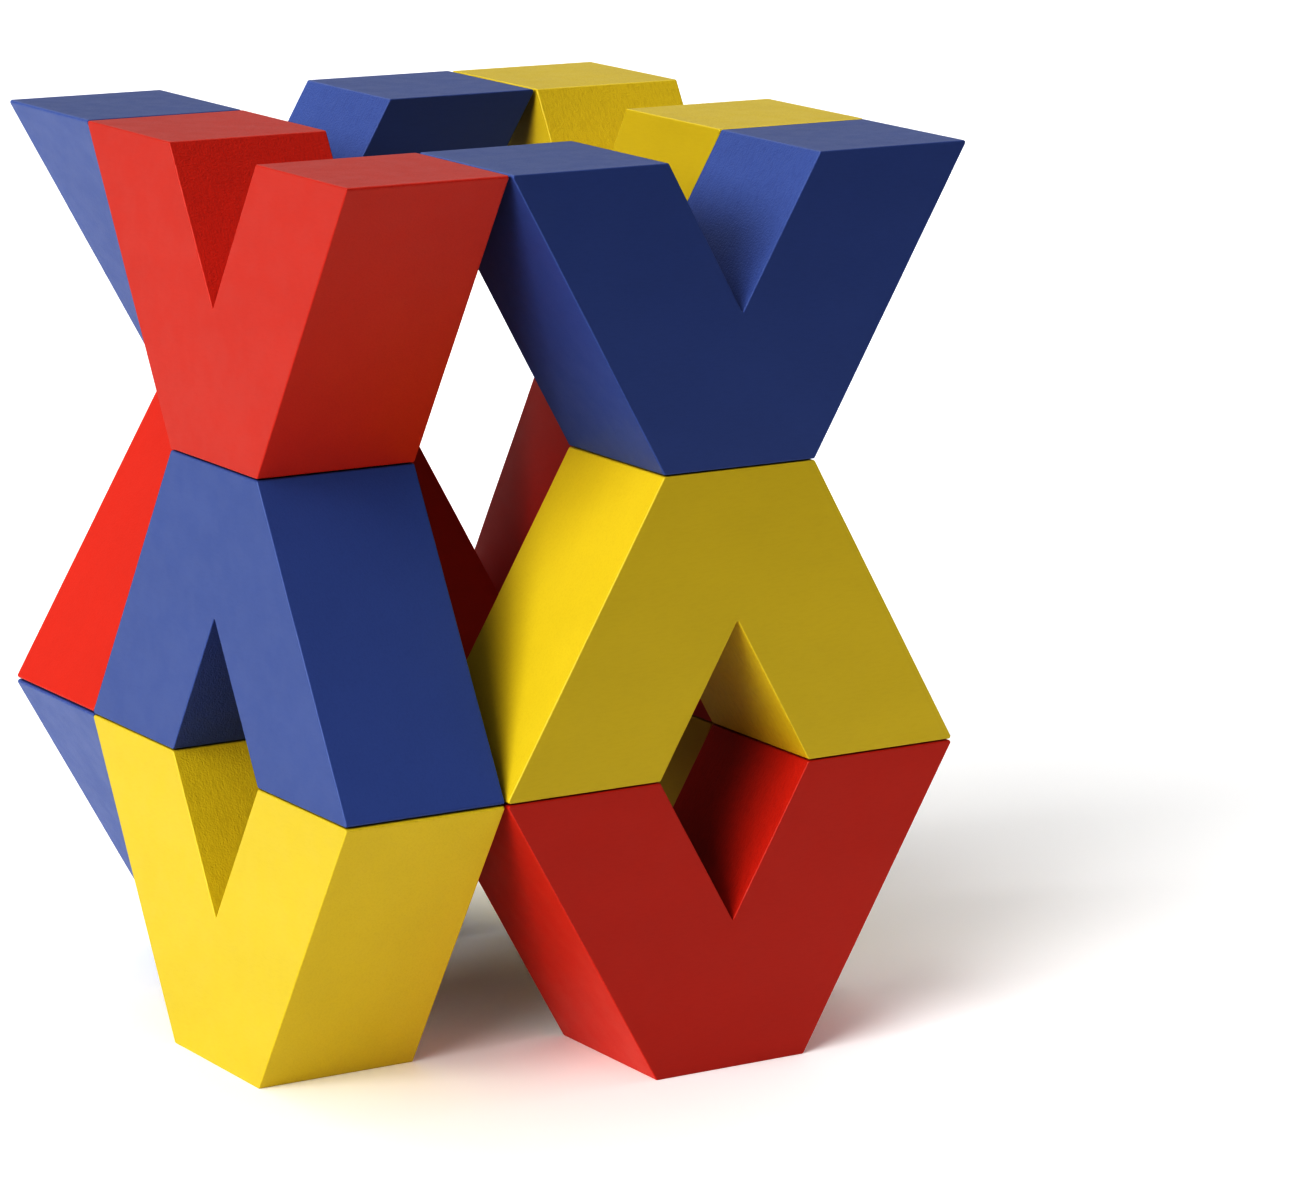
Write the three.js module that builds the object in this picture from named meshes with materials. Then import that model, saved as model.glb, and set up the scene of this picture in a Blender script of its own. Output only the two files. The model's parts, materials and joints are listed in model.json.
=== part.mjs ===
// A stacking tower of twelve identical V-shaped wooden blocks, lacquered red, yellow and blue.
//
// Every block is one solid: a flat V of seven equilateral triangles, as thick as one triangle side.
// Four columns stand round an open square well, each turned a quarter from the next, so that the end
// of one block meets the side of its neighbour. A column is three blocks high: a V standing on its
// foot, a V turned over on the tips of the first, and a third V upright on the back of the second.
// Nothing is glued, pinned or screwed. Each block only rests on the one below it.
//
// Millimetres, +Z up. The origin is the middle of the well, on the surface that the four feet stand
// on. A column's V lies in the plane of its outer side: the front column faces -Y, the left one -X.

import * as THREE from "three";

// Driving dimensions.
const SECTION = 40; // side of a block's square foot and leg ends, and its thickness
const GAP = 0.3; // play between blocks that lie against or on each other
const EDGE_RADIUS = 0.5; // rounding where a side face meets the V-shaped faces
const CORNER_RADIUS = 0.6; // rounding of the V's own outer corners
const NOTCH_RADIUS = 0.4; // rounding left by the saw at the bottom of the notch

const EDGE_STEPS = 2; // facets across a rounded edge
const ARC_STEPS = 3; // facets round a rounded corner of the outline

// What follows from them.
const BLOCK_HEIGHT = SECTION * Math.sqrt(3); // two rows of equilateral triangles
const NOTCH_HEIGHT = BLOCK_HEIGHT / 2; // the notch is one triangle, open at the top
const TIER_PITCH = BLOCK_HEIGHT + GAP;
const COLUMN_OUT = 1.5 * SECTION + GAP / 2; // from the well's middle to a column's mid-plane
const COLUMN_ALONG = 0.5 * SECTION + GAP / 2; // from the well's middle to a column's foot, sideways

const LACQUER = {
  red: { color: 0xd8301f, roughness: 0.45, metalness: 0 },
  yellow: { color: 0xf2cc1e, roughness: 0.45, metalness: 0 },
  blue: { color: 0x2f4596, roughness: 0.45, metalness: 0 },
};

// The columns in order, clockwise from the front when seen from above, and the colours of their
// blocks from the bottom up.
const COLUMNS = [
  { side: "front", colours: ["red", "yellow", "blue"] },
  { side: "left", colours: ["yellow", "blue", "red"] },
  { side: "back", colours: ["blue", "red", "blue"] },
  { side: "right", colours: ["yellow", "red", "yellow"] },
];
const TIERS = ["bottom", "middle", "top"];

// The point at a given distance from one point towards another.
function towards(from, to, distance) {
  return to.clone().sub(from).setLength(distance).add(from);
}

// The V's outline, anticlockwise from the left end of its foot, as corners with their radii.
function outlineCorners() {
  const halfFoot = SECTION / 2;
  const tip = 1.5 * SECTION;
  const corner = (x, y, radius) => ({ point: new THREE.Vector2(x, y), radius });
  return [
    corner(-halfFoot, 0, CORNER_RADIUS),
    corner(halfFoot, 0, CORNER_RADIUS),
    corner(tip, BLOCK_HEIGHT, CORNER_RADIUS),
    corner(halfFoot, BLOCK_HEIGHT, CORNER_RADIUS),
    corner(0, BLOCK_HEIGHT - NOTCH_HEIGHT, NOTCH_RADIUS),
    corner(-halfFoot, BLOCK_HEIGHT, CORNER_RADIUS),
    corner(-tip, BLOCK_HEIGHT, CORNER_RADIUS),
  ];
}

// A closed shape whose corners are arcs that meet their two sides at a tangent.
function roundedShape(corners) {
  const shape = new THREE.Shape();
  corners.forEach(({ point, radius }, i) => {
    const before = corners.at(i - 1).point;
    const after = corners[(i + 1) % corners.length].point;
    const back = before.clone().sub(point).normalize();
    const on = after.clone().sub(point).normalize();
    const halfAngle = Math.acos(back.dot(on)) / 2;
    const start = towards(point, before, radius / Math.tan(halfAngle));
    const end = towards(point, after, radius / Math.tan(halfAngle));
    const centre = towards(point, start.clone().add(end).divideScalar(2), radius / Math.sin(halfAngle));
    const angleOf = (p) => Math.atan2(p.y - centre.y, p.x - centre.x);
    const turnsRight = back.cross(on) > 0;
    if (i === 0) shape.moveTo(start.x, start.y);
    else shape.lineTo(start.x, start.y);
    shape.absarc(centre.x, centre.y, radius, angleOf(start), angleOf(end), turnsRight);
  });
  shape.closePath();
  return shape;
}

// One block standing on its foot: length along X, thickness along Y, and its middle over the origin.
function blockGeometry() {
  const geometry = new THREE.ExtrudeGeometry(roundedShape(outlineCorners()), {
    depth: SECTION - 2 * EDGE_RADIUS,
    curveSegments: ARC_STEPS,
    bevelEnabled: true,
    bevelThickness: EDGE_RADIUS,
    bevelSize: EDGE_RADIUS,
    bevelOffset: -EDGE_RADIUS,
    bevelSegments: EDGE_STEPS,
  });
  geometry.translate(0, 0, EDGE_RADIUS - SECTION / 2);
  geometry.rotateX(Math.PI / 2);
  return geometry;
}

// One block of a column. The middle tier's is turned over, so that its foot is on top.
function block(geometry, side, tier, colour) {
  const mesh = new THREE.Mesh(geometry, new THREE.MeshStandardMaterial(LACQUER[colour]));
  mesh.name = `${TIERS[tier]}_${side}_${colour}`;
  const turnedOver = tier === 1;
  mesh.rotation.y = turnedOver ? Math.PI : 0;
  mesh.position.set(COLUMN_ALONG, -COLUMN_OUT, tier * TIER_PITCH + (turnedOver ? BLOCK_HEIGHT : 0));
  return mesh;
}

// Three blocks on top of each other, in a group turned to the column's side of the well.
function column(geometry, { side, colours }, index) {
  const group = new THREE.Group();
  colours.forEach((colour, tier) => group.add(block(geometry, side, tier, colour)));
  group.rotation.z = (-index * Math.PI) / 2;
  return group;
}

const tower = new THREE.Group();
const geometry = blockGeometry();
COLUMNS.forEach((entry, index) => tower.add(column(geometry, entry, index)));

export default tower;
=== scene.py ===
"""The looks of a stacking tower of V-shaped lacquered wooden blocks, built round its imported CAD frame.

Every CAD block is replaced by a finer one with hand-sanded edges, in the same place and of the same
size. Lengths are in metres, +Z is up, azimuths are anticlockwise from +X, and the front column faces -Y.
"""

import json
import math
import random

import bpy
from mathutils import Matrix, Vector, geometry, noise


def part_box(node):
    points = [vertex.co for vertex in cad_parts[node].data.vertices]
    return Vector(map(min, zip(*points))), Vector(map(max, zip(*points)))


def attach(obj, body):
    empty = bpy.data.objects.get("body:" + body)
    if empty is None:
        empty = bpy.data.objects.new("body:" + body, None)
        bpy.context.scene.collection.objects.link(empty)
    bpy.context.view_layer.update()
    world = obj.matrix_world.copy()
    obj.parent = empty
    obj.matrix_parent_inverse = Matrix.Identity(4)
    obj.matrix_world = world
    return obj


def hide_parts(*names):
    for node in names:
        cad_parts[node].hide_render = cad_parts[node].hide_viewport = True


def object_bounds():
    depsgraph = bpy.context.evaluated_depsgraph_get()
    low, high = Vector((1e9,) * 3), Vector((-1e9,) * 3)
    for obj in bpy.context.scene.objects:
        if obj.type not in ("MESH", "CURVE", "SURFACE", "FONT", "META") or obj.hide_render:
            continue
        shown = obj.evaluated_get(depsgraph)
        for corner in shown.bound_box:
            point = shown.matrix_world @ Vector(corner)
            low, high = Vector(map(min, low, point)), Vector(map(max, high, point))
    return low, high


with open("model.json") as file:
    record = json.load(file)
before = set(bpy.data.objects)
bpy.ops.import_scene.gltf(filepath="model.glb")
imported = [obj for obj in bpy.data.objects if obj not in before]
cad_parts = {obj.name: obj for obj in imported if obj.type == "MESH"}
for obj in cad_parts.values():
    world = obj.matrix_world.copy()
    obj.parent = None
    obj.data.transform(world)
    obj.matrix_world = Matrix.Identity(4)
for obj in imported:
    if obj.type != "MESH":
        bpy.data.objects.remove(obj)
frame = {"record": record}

cad_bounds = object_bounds()

MM = 0.001

# The block's rounding.
EDGE_RADIUS = 0.35 * MM  # where a side face meets the V-shaped faces
CORNER_RADIUS = 0.6 * MM  # on the V's own outer corners
NOTCH_RADIUS = 0.3 * MM  # at the bottom of the notch
SANDING_SPREAD = 0.30  # how far the hand-sanded radius strays from its mean, as a share
SANDING_LENGTH = 14 * MM  # the distance over which it strays

# How finely the block is modelled.
EDGE_STEPS = 5  # facets across a rounded edge
ARC_STEPS = 6  # facets round a corner
RUN_STEP = 3 * MM  # spacing of the samples along a straight side
CAP_STEP = 5 * MM  # spacing of the points inside a V-shaped face
SAME_POINT = 1e-7  # points closer than this are joined when a V-shaped face is filled

# How each block was cut from its board.
BOARD_SPREAD = 0.5  # how far apart in the timber two blocks may come from
GRAIN_TILT = math.radians(2.5)  # most that the grain runs out of line with the block
LEVEL_FACING = 0.98  # a face is level if its normal's upright share is more than this
SLOPE_SANDING = 0.25  # relief left on the outer slopes, where 1 is the notch, which a sander can't reach

SIDES = ["front", "left", "back", "right"]  # clockwise from above, a quarter turn apart


# ---------------------------------------------------------------------------------------------
# Block outline
# ---------------------------------------------------------------------------------------------

def outline_corners(section, height):
    """The V's corners with their radii, anticlockwise from the left end of the foot, as (x, z)."""
    foot = section / 2
    tip = 1.5 * section
    return [
        (Vector((-foot, 0)), CORNER_RADIUS),
        (Vector((foot, 0)), CORNER_RADIUS),
        (Vector((tip, height)), CORNER_RADIUS),
        (Vector((foot, height)), CORNER_RADIUS),
        (Vector((0, height / 2)), NOTCH_RADIUS),
        (Vector((-foot, height)), CORNER_RADIUS),
        (Vector((-tip, height)), CORNER_RADIUS),
    ]


def corner_arc(before, point, after, radius):
    """Samples round one corner, as (position, outward normal, how much of an edge it is, 0 to 1)."""
    way_in = (point - before).normalized()
    way_out = (after - point).normalized()
    turn = math.atan2(way_in.cross(way_out), way_in.dot(way_out))
    bulge = math.copysign(1, turn)  # -1 at the notch, where the arc curves the other way
    first_normal = Vector((way_in.y, -way_in.x))
    last_normal = Vector((way_out.y, -way_out.x))
    outward = (first_normal + last_normal).normalized()
    centre = point - outward * (bulge * radius / math.cos(turn / 2))
    samples = []
    for step in range(ARC_STEPS + 1):
        share = step / ARC_STEPS
        normal = Matrix.Rotation(turn * share, 2) @ first_normal
        edge = math.sin(math.pi * share) if bulge > 0 else 0
        samples.append((centre + normal * (bulge * radius), normal, edge))
    return samples


def straight_run(start, end):
    """Samples strictly between two others, on the straight side that joins them."""
    (first, normal, _), (last, _, _) = start, end
    pieces = max(1, round((last - first).length / RUN_STEP))
    return [(first.lerp(last, i / pieces), normal, 0) for i in range(1, pieces)]


def outline_samples(section, height):
    """The whole outline, sampled evenly along its sides and finely round its corners."""
    corners = outline_corners(section, height)
    arcs = []
    for i, (point, radius) in enumerate(corners):
        before = corners[i - 1][0]
        after = corners[(i + 1) % len(corners)][0]
        arcs.append(corner_arc(before, point, after, radius))
    samples = []
    for arc, following in zip(arcs, arcs[1:] + arcs[:1]):
        samples += arc + straight_run(arc[-1], following[0])
    return samples


# ---------------------------------------------------------------------------------------------
# Block mesh
# ---------------------------------------------------------------------------------------------

def edge_radius(position, face, seed):
    """The sanded radius at a place on a V-shaped face's edge. face is -1 for the near one, 1 for the far."""
    place = Vector((position.x, position.y, face * SANDING_LENGTH)) / SANDING_LENGTH
    return EDGE_RADIUS * (1 + SANDING_SPREAD * noise.noise(place + seed))


def ring_stations(section):
    """Where the rings of vertices lie, from the near V-shaped face to the far one.

    Each is (face, lean, across): lean turns from 0, flush with that V-shaped face, to 1, flush with
    the side faces, and across is only used between the two rounded edges, from -1 to 1.
    """
    rounded = [step / EDGE_STEPS for step in range(EDGE_STEPS + 1)]
    runs = max(2, round(section / RUN_STEP))
    flat = [2 * step / runs - 1 for step in range(1, runs)]
    near = [(-1, lean, None) for lean in rounded]
    middle = [(0, 1, across) for across in flat]
    far = [(1, lean, None) for lean in reversed(rounded)]
    return near + middle + far


def ring_vertex(sample, station, section, seed):
    """One vertex: (position, normal, how much of an edge it is)."""
    position, normal, corner = sample
    face, lean, across = station
    half = section / 2
    if face == 0:
        place = Vector((position.x, across * (half - EDGE_RADIUS * (1 + SANDING_SPREAD)), position.y))
        return place, Vector((normal.x, 0, normal.y)), corner
    radius = edge_radius(position, face, seed)
    angle = lean * math.pi / 2
    inset = position - normal * (radius * (1 - math.sin(angle)))
    place = Vector((inset.x, face * (half - radius * (1 - math.cos(angle))), inset.y))
    facing = Vector((normal.x * math.sin(angle), face * math.cos(angle), normal.y * math.sin(angle)))
    return place, facing, max(corner, math.sin(2 * angle))


def inside_clear(point, ring, margin):
    """True if a point lies inside a closed ring and at least margin from it."""
    inside = False
    for a, b in zip(ring, ring[1:] + ring[:1]):
        nearest, share = geometry.intersect_point_line(point, a, b)
        nearest = a if share < 0 else b if share > 1 else nearest
        if (nearest.to_2d() - point).length < margin:
            return False
        if (a.y > point.y) != (b.y > point.y):
            crossing = a.x + (point.y - a.y) * (b.x - a.x) / (b.y - a.y)
            inside ^= crossing > point.x
    return inside


def cap_points(ring, step):
    """A triangular lattice of points inside a closed ring of (x, z) points, clear of the ring itself."""
    low = Vector((min(p.x for p in ring), min(p.y for p in ring)))
    high = Vector((max(p.x for p in ring), max(p.y for p in ring)))
    rise = step * math.sqrt(3) / 2
    points = []
    for row in range(1, int((high.y - low.y) / rise) + 1):
        shift = step / 2 if row % 2 else 0
        for column in range(int((high.x - low.x) / step) + 2):
            point = Vector((low.x + shift + column * step, low.y + row * rise))
            if inside_clear(point, ring, step / 2):
                points.append(point)
    return points


def cap_faces(ring, first_index, next_index):
    """Fills a flat ring with even triangles. Returns the new inner points and the faces."""
    inner = cap_points(ring, CAP_STEP)
    loop = list(range(len(ring)))
    filled = geometry.delaunay_2d_cdt(ring + inner, [], [loop], 1, SAME_POINT)
    points, _, triangles, origins, _, _ = filled
    index_of = []
    for origin in origins:
        source = origin[0]
        on_ring = source < len(ring)
        index_of.append(first_index + source if on_ring else next_index + source - len(ring))
    faces = []
    for triangle in triangles:
        a, b, c = (points[i] for i in triangle)
        anticlockwise = (b - a).cross(c - a) > 0
        corners = [index_of[i] for i in triangle]
        faces.append(corners if anticlockwise else corners[::-1])
    return inner, faces


def side_faces(around, rings):
    """Quads between each ring of vertices and the next."""
    faces = []
    for ring in range(rings - 1):
        for i in range(around):
            here = ring * around + i
            ahead = ring * around + (i + 1) % around
            faces.append([here, here + around, ahead + around, ahead])
    return faces


def block_mesh(name, section, height, seed):
    """A V block standing on its foot: length along X, thickness along Y, middle over the origin."""
    samples = outline_samples(section, height)
    stations = ring_stations(section)
    around = len(samples)
    vertices = []
    for station in stations:
        vertices += [ring_vertex(sample, station, section, seed) for sample in samples]
    faces = side_faces(around, len(stations))
    for side, first in ((-1, 0), (1, (len(stations) - 1) * around)):
        rim = [Vector((p.x, p.z)) for p, _, _ in vertices[first:first + around]]
        inner, filling = cap_faces(rim, first, len(vertices))
        vertices += [(Vector((p.x, side * section / 2, p.y)), Vector((0, side, 0)), 0) for p in inner]
        faces += filling if side < 0 else [face[::-1] for face in filling]
    mesh = bpy.data.meshes.new(name)
    mesh.from_pydata([place for place, _, _ in vertices], [], faces)
    mesh.shade_smooth()
    mesh.normals_split_custom_set_from_vertices([normal for _, normal, _ in vertices])
    add_surface_facts(mesh, vertices, seed)
    return mesh


def store(mesh, name, values):
    """Writes one number per vertex into the mesh, for its material to read."""
    mesh.attributes.new(name, "FLOAT", "POINT").data.foreach_set("value", values)


def add_surface_facts(mesh, vertices, seed):
    """What the lacquer's material reads: place in the timber, kind of face, edges and shade."""
    rng = random.Random(f"board {mesh.name}")
    tilt = Matrix.Rotation(rng.uniform(-GRAIN_TILT, GRAIN_TILT), 3, "Y")
    shade = rng.uniform(-1, 1)
    timber = [tilt @ place + seed * BOARD_SPREAD for place, _, _ in vertices]
    flattened = [number for place in timber for number in place]
    mesh.attributes.new("timber", "FLOAT_VECTOR", "POINT").data.foreach_set("vector", flattened)
    store(mesh, "cut", [abs(normal.x) for _, normal, _ in vertices])
    store(mesh, "unsanded", [1 if normal.z > 0 else SLOPE_SANDING for _, normal, _ in vertices])
    store(mesh, "level", [1 if abs(normal.z) > LEVEL_FACING else 0 for _, normal, _ in vertices])
    store(mesh, "edge", [rounding for _, _, rounding in vertices])
    store(mesh, "batch", [shade] * len(vertices))


# ---------------------------------------------------------------------------------------------
# Shader nodes
# ---------------------------------------------------------------------------------------------

def node(tree, kind, inputs=None, **settings):
    """A node with its settings. Each input is a plain value, or another node's output socket."""
    made = tree.nodes.new(kind)
    for key, value in settings.items():
        setattr(made, key, value)
    for key, value in (inputs or {}).items():
        feed(tree, made.inputs[key], value)
    return made


def feed(tree, socket, value):
    """Gives an input socket a plain value, or links it to another node's output socket."""
    if isinstance(value, bpy.types.NodeSocket):
        tree.links.new(value, socket)
    else:
        socket.default_value = value


def math_of(tree, operation, a, b):
    """The result of one arithmetic operation on two numbers."""
    return node(tree, "ShaderNodeMath", {0: a, 1: b}, operation=operation).outputs[0]


def spread(tree, value, span, target):
    """Maps the span onto the target, smoothly and without going past either end."""
    inputs = {
        "Value": value,
        "From Min": span[0],
        "From Max": span[1],
        "To Min": target[0],
        "To Max": target[1],
    }
    return node(tree, "ShaderNodeMapRange", inputs, interpolation_type="SMOOTHSTEP").outputs["Result"]


def mixed_value(tree, share, a, b):
    """a where share is 0, b where it is 1."""
    inputs = {"Value": share, "From Min": 0.0, "From Max": 1.0, "To Min": a, "To Max": b}
    return node(tree, "ShaderNodeMapRange", inputs).outputs["Result"]


def mixed_colour(tree, share, a, b):
    """Colour a where share is 0, b where it is 1."""
    made = node(tree, "ShaderNodeMix", {"Factor": share}, data_type="RGBA")
    for key, value in (("A", a), ("B", b)):
        socket = [s for s in made.inputs if s.name == key and s.type == "RGBA"][0]
        feed(tree, socket, value)
    return [s for s in made.outputs if s.type == "RGBA"][0]


def fact(tree, name, output="Fac"):
    """One of the facts that add_surface_facts stored in the mesh."""
    return node(tree, "ShaderNodeAttribute", attribute_name=name).outputs[output]


# ---------------------------------------------------------------------------------------------
# Lacquer
# ---------------------------------------------------------------------------------------------

# Each lacquer's own colour, the deeper one that it has in pores, and the paler one on worn edges.
LACQUER_COLOURS = {
    "red": {
        "body": (0.42, 0.026, 0.011, 1),
        "deep": (0.28, 0.011, 0.007, 1),
        "thin": (0.47, 0.037, 0.020, 1),
    },
    "yellow": {
        "body": (0.54, 0.41, 0.023, 1),
        "deep": (0.38, 0.26, 0.008, 1),
        "thin": (0.66, 0.54, 0.09, 1),
    },
    "blue": {
        "body": (0.050, 0.083, 0.230, 1),
        "deep": (0.027, 0.043, 0.145, 1),
        "thin": (0.063, 0.105, 0.27, 1),
    },
}
LACQUER_IOR = 1.42

# The figure of the wood and of its wear. A cell is the size of a feature along the grain, across it
# and through the board, detail is how many finer layers it has, and fade how strong each is against
# the one before.
FLECKS = {"cell": (2.6 * MM, 0.45 * MM, 0.45 * MM), "detail": 2, "fade": 0.5}
RINGS = {"cell": (9.0 * MM, 0.55 * MM, 1.9 * MM), "detail": 3, "fade": 0.55}
STIPPLE = {"cell": (0.45 * MM, 0.45 * MM, 0.45 * MM), "detail": 1, "fade": 0.5}
CLOUDS = {"cell": (34 * MM, 13 * MM, 13 * MM), "detail": 3, "fade": 0.5}
RUBBING = {"cell": (7 * MM, 7 * MM, 7 * MM), "detail": 4, "fade": 0.6}
USUAL_SPAN = (0.3, 0.7)  # most of a figure lies between these values

# How high the figure stands under the lacquer.
FLECK_HEIGHT = 0.006 * MM
RING_HEIGHT = 0.05 * MM
STIPPLE_HEIGHT = 0.055 * MM
SAWN_STIPPLE = 2.2  # how much stronger the stipple is on sawn faces than on level ones

# Pores: the lowest part of the figure, where lacquer collects.
PORE_SPAN = (0.34, 0.56)  # figure values from all pore to none
SMOOTH_PORES = 0.06  # the deep colour's share in a pore on the V-shaped faces
ROUGH_PORES = 0.28  # and on sawn and level faces

# How much brighter or darker the lacquer is than its own colour, as a share.
CLOUD_SHADE = 0.015  # from place to place on a block
BATCH_SHADE = 0.012  # from block to block
CUT_PAINTED_LIGHT = 0.25  # painted light on sawn faces, standing in for light on the notches: brighter by this share on a face square to the block's length, and less on one that slopes

# Wear, and the satin finish.
WEAR_SPAN = (0.38, 0.62)  # rubbing from least to most worn
WEAR_SHARE = (0.02, 0.22)  # the paler colour's share on an edge, where it is least and most worn
ROUGHNESS = (0.40, 0.47)
WEAR_POLISH = 0.08  # how much less rough a wholly worn edge would be


def figure_of(tree, timber, cell, detail, fade):
    """One figure, as noise: low in its hollows and high on its ridges."""
    scale = [1 / length for length in cell]
    place = node(tree, "ShaderNodeVectorMath", {0: timber, 1: scale}, operation="MULTIPLY").outputs[0]
    inputs = {"Vector": place, "Scale": 1.0, "Detail": detail, "Roughness": fade}
    return node(tree, "ShaderNodeTexNoise", inputs, noise_dimensions="3D").outputs["Fac"]


def grain(tree, timber, sawn, level):
    """The relief that shows through the lacquer, in metres, and the pores in it, from 0 to 1."""
    flecks = figure_of(tree, timber, **FLECKS)
    rings = figure_of(tree, timber, **RINGS)
    stipple = figure_of(tree, timber, **STIPPLE)
    along = math_of(tree, "MULTIPLY", flecks, FLECK_HEIGHT)
    across = math_of(tree, "MULTIPLY", rings, math_of(tree, "MULTIPLY", sawn, RING_HEIGHT))
    dotted = math_of(tree, "MAXIMUM", level, math_of(tree, "MULTIPLY", sawn, SAWN_STIPPLE))
    dots = math_of(tree, "MULTIPLY", stipple, math_of(tree, "MULTIPLY", dotted, STIPPLE_HEIGHT))
    height = math_of(tree, "ADD", math_of(tree, "ADD", along, across), dots)
    figure = mixed_value(tree, level, mixed_value(tree, sawn, flecks, rings), stipple)
    return height, spread(tree, figure, PORE_SPAN, (1, 0))


def pore_share(tree, pores, sawn, level):
    """How much of the deep colour shows: more on sawn and level faces, whose pores are open."""
    rough = math_of(tree, "MAXIMUM", sawn, level)
    return math_of(tree, "MULTIPLY", pores, mixed_value(tree, rough, SMOOTH_PORES, ROUGH_PORES))


def shaded(tree, colour, timber, cut):
    """A colour varied by clouds and by the block's batch, and brightened with painted light on sawn faces.
    """
    clouds = figure_of(tree, timber, **CLOUDS)
    tone = spread(tree, clouds, USUAL_SPAN, (1 - CLOUD_SHADE, 1 + CLOUD_SHADE))
    tone = math_of(tree, "ADD", tone, math_of(tree, "MULTIPLY", fact(tree, "batch"), BATCH_SHADE))
    # painted light: sawn faces, the notches among them, are made brighter to stand for light they get
    tone = math_of(tree, "ADD", tone, math_of(tree, "MULTIPLY", cut, CUT_PAINTED_LIGHT))
    return node(tree, "ShaderNodeHueSaturation", {"Value": tone, "Color": colour}).outputs["Color"]


def lacquer(name, body, deep, thin):
    """Satin lacquer on wood, of its own body colour, a deeper one in pores and a paler one on edges."""
    material = bpy.data.materials.new(name)
    material.use_nodes = True
    tree = material.node_tree
    tree.nodes.clear()
    timber = fact(tree, "timber", "Vector")
    level = fact(tree, "level")
    cut = fact(tree, "cut")
    sawn = math_of(tree, "MULTIPLY", cut, fact(tree, "unsanded"))
    rubbed = figure_of(tree, timber, **RUBBING)
    wear = math_of(tree, "MULTIPLY", fact(tree, "edge"), spread(tree, rubbed, WEAR_SPAN, WEAR_SHARE))

    height, pores = grain(tree, timber, sawn, level)
    bump = node(tree, "ShaderNodeBump", {"Strength": 1.0, "Distance": 1.0, "Height": height})
    colour = mixed_colour(tree, pore_share(tree, pores, sawn, level), body, deep)
    colour = mixed_colour(tree, wear, shaded(tree, colour, timber, cut), thin)
    roughness = spread(tree, rubbed, USUAL_SPAN, ROUGHNESS)
    roughness = math_of(tree, "SUBTRACT", roughness, math_of(tree, "MULTIPLY", wear, WEAR_POLISH))
    inputs = {
        "Base Color": colour,
        "Roughness": roughness,
        "IOR": LACQUER_IOR,
        "Normal": bump.outputs["Normal"],
    }
    shader = node(tree, "ShaderNodeBsdfPrincipled", inputs)
    node(tree, "ShaderNodeOutputMaterial", {"Surface": shader.outputs["BSDF"]})
    return material


LACQUERS = {}
for colour, shades in LACQUER_COLOURS.items():
    LACQUERS[colour] = lacquer(f"{colour}_lacquer", **shades)


# ---------------------------------------------------------------------------------------------
# Blocks in their places
# ---------------------------------------------------------------------------------------------

def place_block(cad_node, body):
    """Builds one block over its CAD node: a V on its foot, or turned over in the middle tier."""
    tier, side, colour = cad_node.split("_")
    low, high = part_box(cad_node)
    size = high - low
    section = min(size.x, size.y)
    rng = random.Random(f"block {cad_node}")
    seed = Vector([rng.uniform(-1, 1) for _ in range(3)])
    block = bpy.data.objects.new(f"lacquered_{cad_node}", block_mesh(cad_node, section, size.z, seed))
    bpy.context.scene.collection.objects.link(block)
    block.data.materials.append(LACQUERS[colour])
    turned_over = tier == "middle"
    middle = (low + high) / 2
    foot = Vector((middle.x, middle.y, high.z if turned_over else low.z))
    turn = Matrix.Rotation(-SIDES.index(side) * math.pi / 2, 4, "Z")
    flip = Matrix.Rotation(math.pi if turned_over else 0, 4, "Y")
    block.matrix_world = Matrix.Translation(foot) @ turn @ flip
    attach(block, body)
    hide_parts(cad_node)


for body, members in frame["record"]["behaviour"]["bodies"].items():
    for member in members:
        place_block(member, body)


# ---------------------------------------------------------------------------------------------
# Studio
# ---------------------------------------------------------------------------------------------

block_section = min(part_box("bottom_front_red")[1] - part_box("bottom_front_red")[0])
tower_middle = (cad_bounds[0] + cad_bounds[1]) / 2

# The camera. It looks a little right of the tower and below its middle.
CAMERA_AZIMUTH = math.radians(-120.97)
CAMERA_ELEVATION = math.radians(12.31)
CAMERA_DISTANCE = 31.84 * block_section
CAMERA_AIM_RIGHT = 1.004 * block_section
CAMERA_AIM_DOWN = 0.173 * block_section
CAMERA_ROLL = math.radians(0.73)
CAMERA_LENS = 151.44  # mm
CAMERA_SENSOR = 36  # mm, across the picture

# The floor is a sheet of white paper, which ends in front of the tower, just outside the picture.
PAPER_REACH = 6.0
PAPER_NEAR_REACH = 0.53
PAPER_COLOUR = (0.96, 0.96, 0.96, 1)
PAPER_ROUGHNESS = 0.9
PAPER_SPECULAR = 0.1
PAINTED_LIGHT_COLOUR = (1, 1, 1, 1)
PAINTED_PAPER_LIGHT = 0.09  # painted light: the paper glows this much to lift it to white round the tower, but not in the middle of the tower's shadow
SHADOW_MIDDLE = Vector((0.05, 0.05, 0))
PAINTED_LIGHT_START = 0.06  # distance from the shadow's middle at which the painted light starts
PAINTED_LIGHT_FULL = 0.15  # and at which it is full

# Light from a wide window on the left: soft discs side by side.
WINDOW_AZIMUTHS = [math.radians(degrees) for degrees in (185, 209)]
WINDOW_ELEVATION = math.radians(24)
WINDOW_WIDTH = math.radians(26)
WINDOW_STRENGTH = 1.86  # of each disc

# Light from a smaller window high on the camera's side.
SKYLIGHT_AZIMUTH = math.radians(209)
SKYLIGHT_ELEVATION = math.radians(56)
SKYLIGHT_WIDTH = math.radians(26)
SKYLIGHT_STRENGTH = 0.68

# Light from the pale walls and ceiling, on the sides away from the camera.
CEILING_AZIMUTHS = [math.radians(degrees) for degrees in (10, 60, 110)]
CEILING_ELEVATION = math.radians(50)
CEILING_WIDTH = math.radians(84)
CEILING_STRENGTH = 0.86  # of each disc

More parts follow.
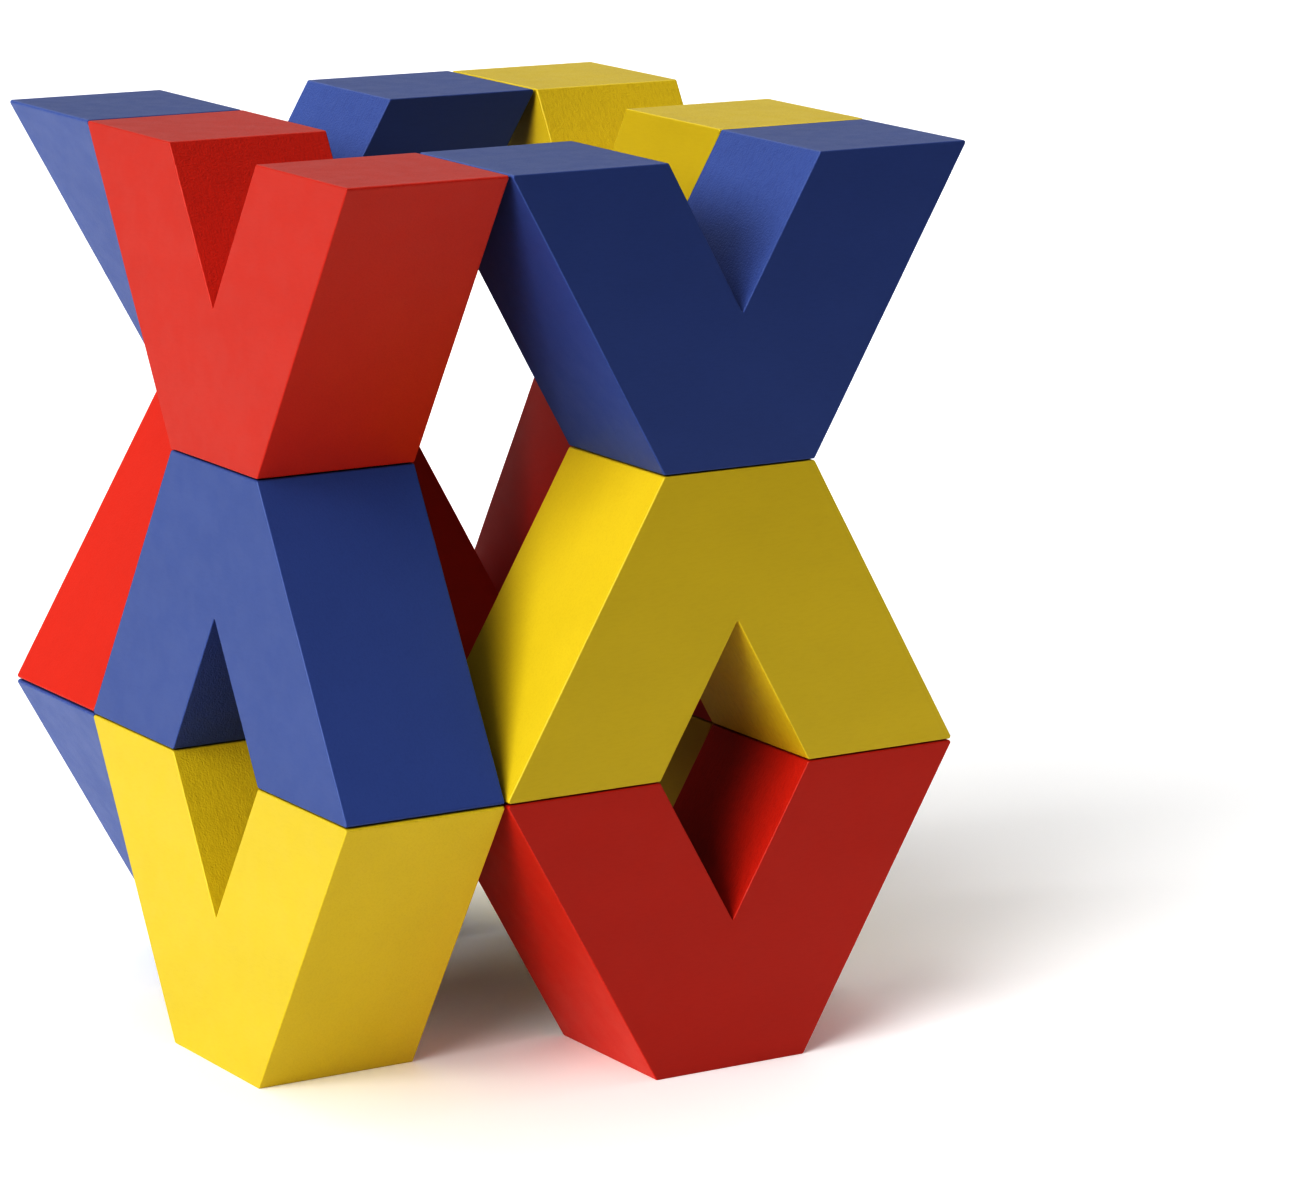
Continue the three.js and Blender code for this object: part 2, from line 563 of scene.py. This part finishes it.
# The room itself: what the camera sees past the floor, and the light that reaches everything else.
ROOM_COLOUR = (1, 1, 1, 1)
ROOM_SEEN = 1.0
ROOM_STRENGTH = 0.02

# How the picture is printed: with more contrast than a plain view, and the highlights held back.
PRINT_CONTRAST = 1.8
PRINT_SHOULDER = 0.5
PRINT_STEPS = 12  # pieces that the curve is drawn in
ALL_CHANNELS = 3  # the curve that acts on red, green and blue alike


def direction(azimuth, elevation):
    """The unit vector that points that way from the tower."""
    return Vector((
        math.cos(azimuth) * math.cos(elevation),
        math.sin(azimuth) * math.cos(elevation),
        math.sin(elevation),
    ))


def build_camera():
    """The camera, far off with a long lens, in front of the tower and to its left."""
    back = direction(CAMERA_AZIMUTH, CAMERA_ELEVATION)
    position = tower_middle + back * CAMERA_DISTANCE
    rightward = Vector((-math.sin(CAMERA_AZIMUTH), math.cos(CAMERA_AZIMUTH), 0))
    upward = rightward.cross(-back)
    aim = tower_middle + rightward * CAMERA_AIM_RIGHT - upward * CAMERA_AIM_DOWN
    camera = bpy.data.objects.new("camera", bpy.data.cameras.new("camera"))
    camera.data.sensor_width = CAMERA_SENSOR
    camera.data.lens = CAMERA_LENS
    looking = (aim - position).to_track_quat("-Z", "Y").to_matrix().to_4x4()
    camera.matrix_world = Matrix.Translation(position) @ looking @ Matrix.Rotation(CAMERA_ROLL, 4, "Z")
    bpy.context.scene.collection.objects.link(camera)
    bpy.context.scene.camera = camera


def paper():
    """White paper with painted light: a faint glow that lifts it to white and fades out towards the middle
    of the tower's shadow.
    """
    material = bpy.data.materials.new("white_paper")
    material.use_nodes = True
    tree = material.node_tree
    place = node(tree, "ShaderNodeTexCoord").outputs["Object"]
    between = node(tree, "ShaderNodeVectorMath", {0: place, 1: SHADOW_MIDDLE}, operation="DISTANCE")
    painted_light = spread(tree, between.outputs["Value"], (PAINTED_LIGHT_START, PAINTED_LIGHT_FULL), (0, PAINTED_PAPER_LIGHT))
    shader = tree.nodes["Principled BSDF"]
    feed(tree, shader.inputs["Base Color"], PAPER_COLOUR)
    feed(tree, shader.inputs["Roughness"], PAPER_ROUGHNESS)
    feed(tree, shader.inputs["Specular IOR Level"], PAPER_SPECULAR)
    feed(tree, shader.inputs["Emission Color"], PAINTED_LIGHT_COLOUR)
    # painted light: emission that brightens the paper round the tower's shadow
    feed(tree, shader.inputs["Emission Strength"], painted_light)
    return material


def build_floor():
    """One flat sheet at the level that the feet stand on."""
    corners = [
        (-PAPER_REACH, -PAPER_NEAR_REACH, 0),
        (PAPER_REACH, -PAPER_NEAR_REACH, 0),
        (PAPER_REACH, PAPER_REACH, 0),
        (-PAPER_REACH, PAPER_REACH, 0),
    ]
    mesh = bpy.data.meshes.new("floor")
    mesh.from_pydata(corners, [], [[0, 1, 2, 3]])
    mesh.materials.append(paper())
    floor = bpy.data.objects.new("floor", mesh)
    bpy.context.scene.collection.objects.link(floor)


def add_light(name, azimuth, elevation, width, strength):
    """A soft round light far away, in the direction given and as wide as width, seen from the tower."""
    lamp = bpy.data.lights.new(name, "SUN")
    lamp.energy = strength
    lamp.angle = width
    light = bpy.data.objects.new(name, lamp)
    light.rotation_mode = "QUATERNION"
    light.rotation_quaternion = direction(azimuth, elevation).to_track_quat("Z", "Y")
    bpy.context.scene.collection.objects.link(light)


def build_room():
    """White where the camera sees past the floor, and nearly dark for everything else."""
    world = bpy.data.worlds.new("room")
    bpy.context.scene.world = world
    world.use_nodes = True
    tree = world.node_tree
    tree.nodes.clear()
    fill = node(tree, "ShaderNodeBackground", {"Color": ROOM_COLOUR, "Strength": ROOM_STRENGTH})
    seen = node(tree, "ShaderNodeBackground", {"Color": ROOM_COLOUR, "Strength": ROOM_SEEN})
    by_camera = node(tree, "ShaderNodeLightPath").outputs["Is Camera Ray"]
    choice = node(tree, "ShaderNodeMixShader", {0: by_camera, 1: fill.outputs[0], 2: seen.outputs[0]})
    node(tree, "ShaderNodeOutputWorld", {"Surface": choice.outputs[0]})


def linear(display):
    """The light that a display value from 0 to 1 stands for, by the sRGB standard's formula."""
    return display / 12.92 if display <= 0.04045 else ((display + 0.055) / 1.055) ** 2.4


def printed(display):
    """Where a display value from 0 to 1 ends up in the print."""
    hardened = display ** PRINT_CONTRAST
    return hardened * (1 + PRINT_SHOULDER) / (1 + PRINT_SHOULDER * hardened)


def print_picture():
    """Applies the print's curve to the picture, on top of Blender's plain view."""
    view = bpy.context.scene.view_settings
    view.view_transform = "Standard"
    view.use_curve_mapping = True
    curve = view.curve_mapping.curves[ALL_CHANNELS]
    for step in range(1, PRINT_STEPS):
        display = step / PRINT_STEPS
        curve.points.new(linear(display), linear(printed(display)))
    view.curve_mapping.update()


build_camera()
build_floor()
build_room()
print_picture()
for azimuth in WINDOW_AZIMUTHS:
    add_light("window", azimuth, WINDOW_ELEVATION, WINDOW_WIDTH, WINDOW_STRENGTH)
add_light("skylight", SKYLIGHT_AZIMUTH, SKYLIGHT_ELEVATION, SKYLIGHT_WIDTH, SKYLIGHT_STRENGTH)
for azimuth in CEILING_AZIMUTHS:
    add_light("ceiling", azimuth, CEILING_ELEVATION, CEILING_WIDTH, CEILING_STRENGTH)
